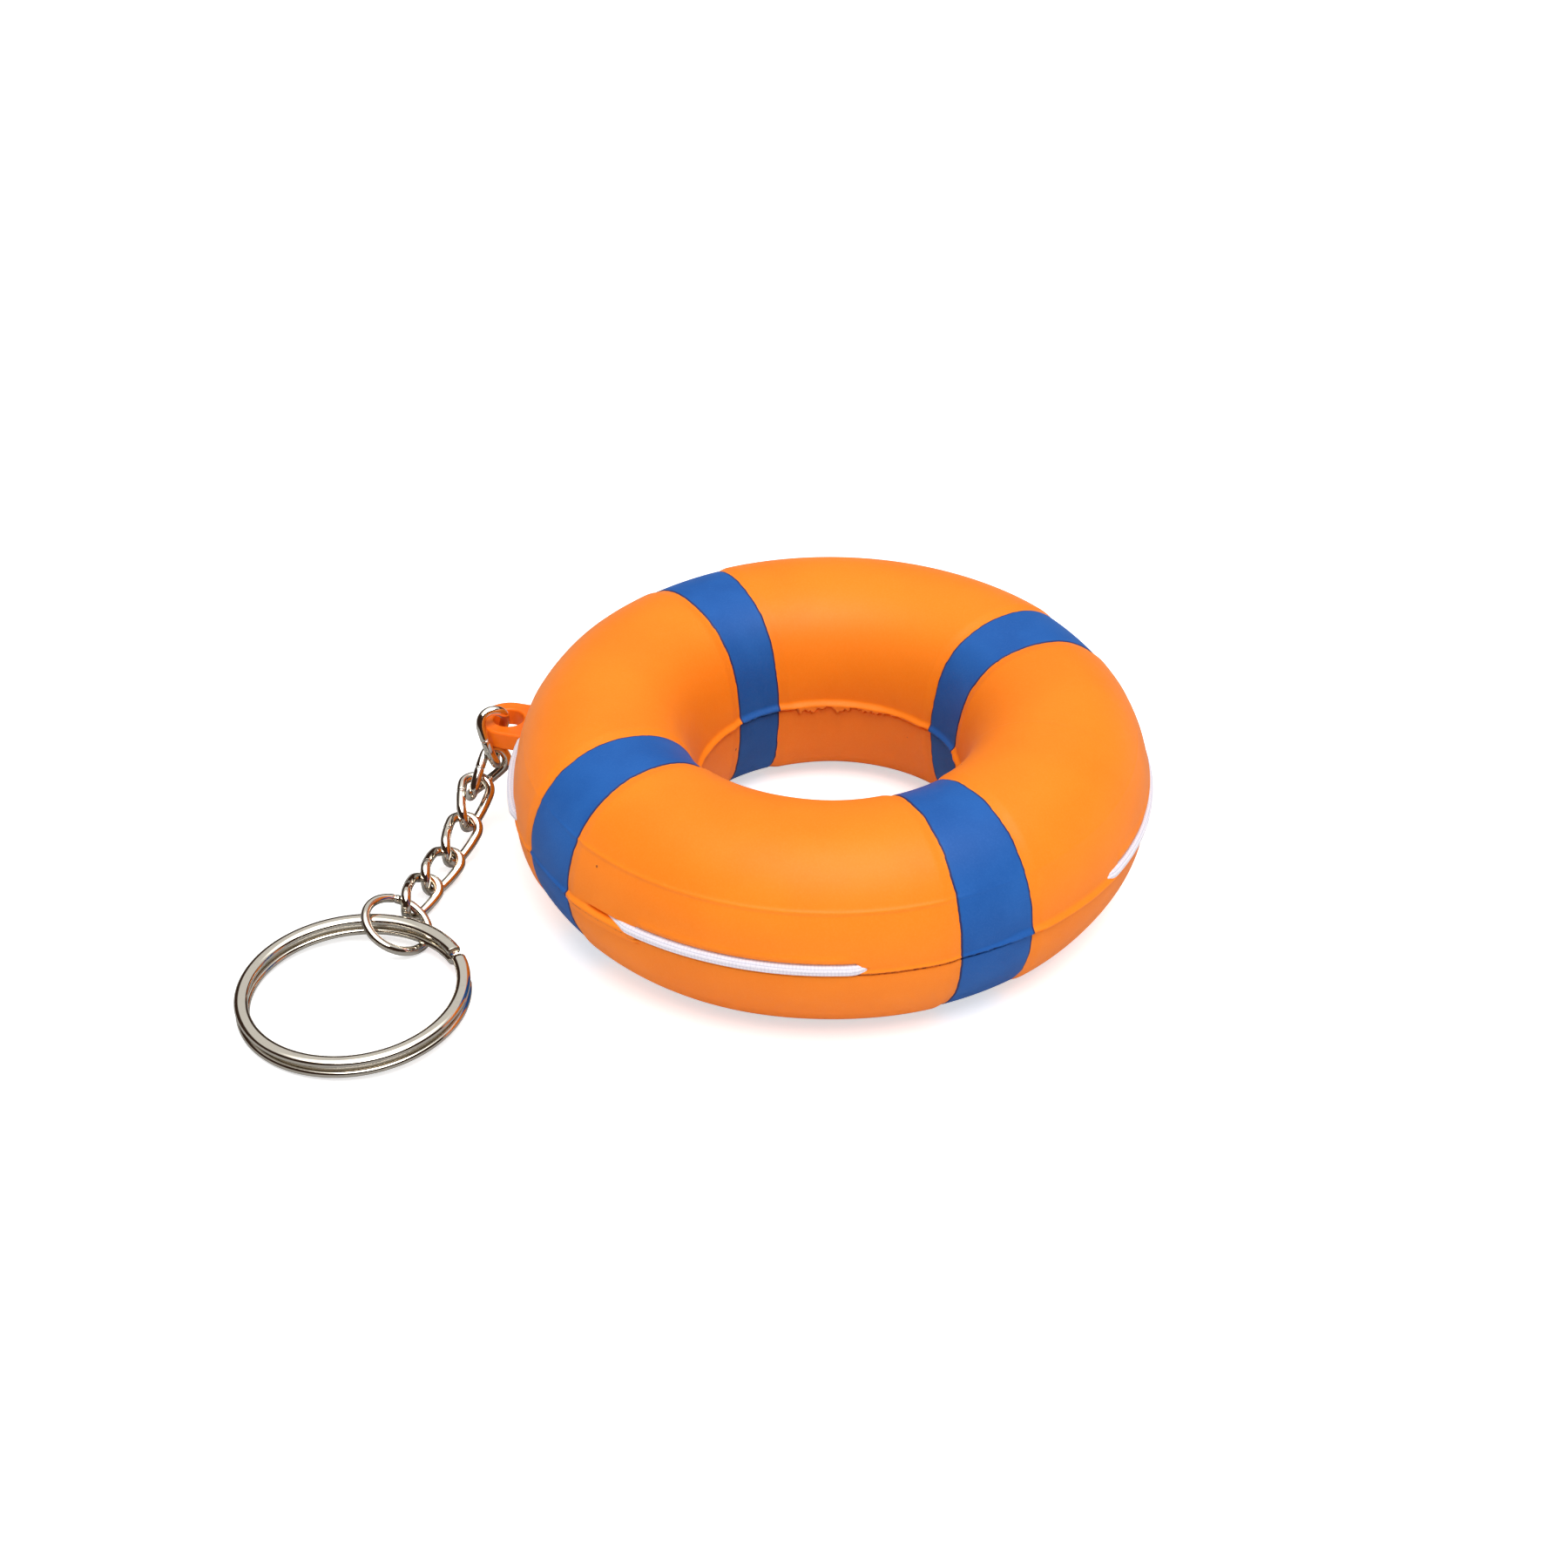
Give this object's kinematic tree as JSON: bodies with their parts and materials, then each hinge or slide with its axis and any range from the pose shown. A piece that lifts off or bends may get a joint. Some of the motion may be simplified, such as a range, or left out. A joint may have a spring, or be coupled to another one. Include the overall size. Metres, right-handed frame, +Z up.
{
  "type": "lifebuoy key ring",
  "caption": "Miniature foam ring lifebuoy with painted bands, a grab cord and an eyelet tab, hung by a curb chain and jump ring on a split ring that takes keys.",
  "frame": {"origin": "centre of the lifebuoy's hole, on the parting plane of the foam", "axes": "+Z up, along the axis of the hole; the eyelet tab points along -X and the chain and split ring lie from it towards -Y"},
  "size_m": [0.0894, 0.0868, 0.0233],
  "materials": {
    "orange_foam": "soft satin skin of moulded foam",
    "blue_paint": "matte flexible paint",
    "white_elastic": "covered elastic cord",
    "orange_rubber": "smooth, slightly glossy",
    "nickel_plated_steel": "bright nickel plate"
  },
  "bodies": {
    "lifebuoy": {"foam_ring": "orange_foam", "blue_band_1": "blue_paint", "blue_band_2": "blue_paint", "blue_band_3": "blue_paint", "blue_band_4": "blue_paint", "elastic_cord": "white_elastic", "eyelet_tab": "orange_rubber"},
    "link_1": {"chain_link_1": "nickel_plated_steel"},
    "link_2": {"chain_link_2": "nickel_plated_steel"},
    "link_3": {"chain_link_3": "nickel_plated_steel"},
    "link_4": {"chain_link_4": "nickel_plated_steel"},
    "link_5": {"chain_link_5": "nickel_plated_steel"},
    "link_6": {"chain_link_6": "nickel_plated_steel"},
    "jump_ring": {"jump_ring": "nickel_plated_steel"},
    "split_ring": {"split_ring": "nickel_plated_steel"}
  },
  "joints": [
    {"name": "link_1_on_eyelet", "type": "hinge", "parent": "lifebuoy", "child": "link_1", "pos_m": [-0.0375, 0, 0], "axis": [0, 0, 1], "range_deg": [-60, 15]},
    {"name": "link_2_on_link_1", "type": "hinge", "parent": "link_1", "child": "link_2", "pos_m": [-0.03834, -0.00266, -0.00339], "axis": [-0.4468, 0.8782, -0.1705], "range_deg": [-40, 0]},
    {"name": "link_3_on_link_2", "type": "hinge", "parent": "link_2", "child": "link_3", "pos_m": [-0.03986, -0.004, -0.00484], "axis": [0.9798, 0.1155, -0.1633], "range_deg": [-50, 5]},
    {"name": "link_4_on_link_3", "type": "hinge", "parent": "link_3", "child": "link_4", "pos_m": [-0.03969, -0.00959, -0.00774], "axis": [-0.0249, 0.4598, -0.8877], "range_deg": [-28, 30]},
    {"name": "link_5_on_link_4", "type": "hinge", "parent": "link_4", "child": "link_5", "pos_m": [-0.04005, -0.0144, -0.00907], "axis": [0.0545, 0.2656, -0.9625], "range_deg": [-30, 30]},
    {"name": "link_6_on_link_5", "type": "hinge", "parent": "link_5", "child": "link_6", "pos_m": [-0.04055, -0.01809, -0.00927], "axis": [0.9971, -0.0767, 0], "range_deg": [-25, 12]},
    {"name": "jump_ring_on_link_6", "type": "hinge", "parent": "link_6", "child": "jump_ring", "pos_m": [-0.04099, -0.02316, -0.00925], "axis": [-0.9993, 0.0366, 0], "range_deg": [-18, 50]},
    {"name": "split_ring_on_jump_ring", "type": "hinge", "parent": "jump_ring", "child": "split_ring", "pos_m": [-0.04112, -0.0268, -0.00929], "axis": [-0.461, 0.0277, -0.8869], "range_deg": [-30, 30]}
  ]
}
